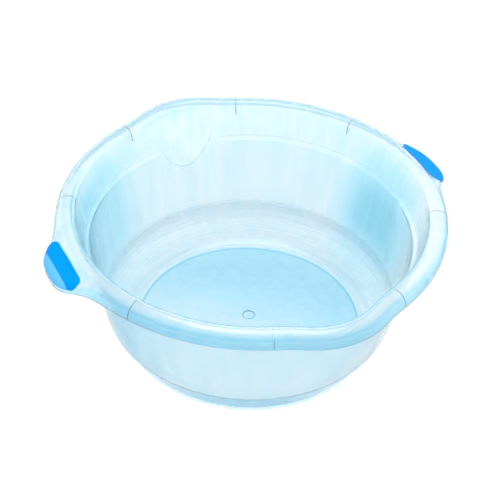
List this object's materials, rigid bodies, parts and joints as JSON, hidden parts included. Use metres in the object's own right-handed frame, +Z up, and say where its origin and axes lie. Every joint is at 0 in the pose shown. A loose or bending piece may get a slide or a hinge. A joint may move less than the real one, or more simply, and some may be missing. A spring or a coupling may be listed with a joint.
{
  "type": "baby bathtub",
  "caption": "Round translucent baby bath basin with a rolled rim, pouring lips and soft grips on its handles",
  "frame": {"origin": "centre of the foot ring on the surface the tub stands on", "axes": "+Z up along the axis of the bowl, X through the two handles, Y through the two pouring lips"},
  "size_m": [0.5, 0.48, 0.1879],
  "materials": {
    "tub_plastic": "translucent pale blue polypropylene, glossy from the mould",
    "grip_rubber": "soft azure blue thermoplastic rubber, satin"
  },
  "bodies": {
    "root": {"tub_shell": "tub_plastic", "left_grip": "grip_rubber", "right_grip": "grip_rubber"}
  },
  "joints": []
}
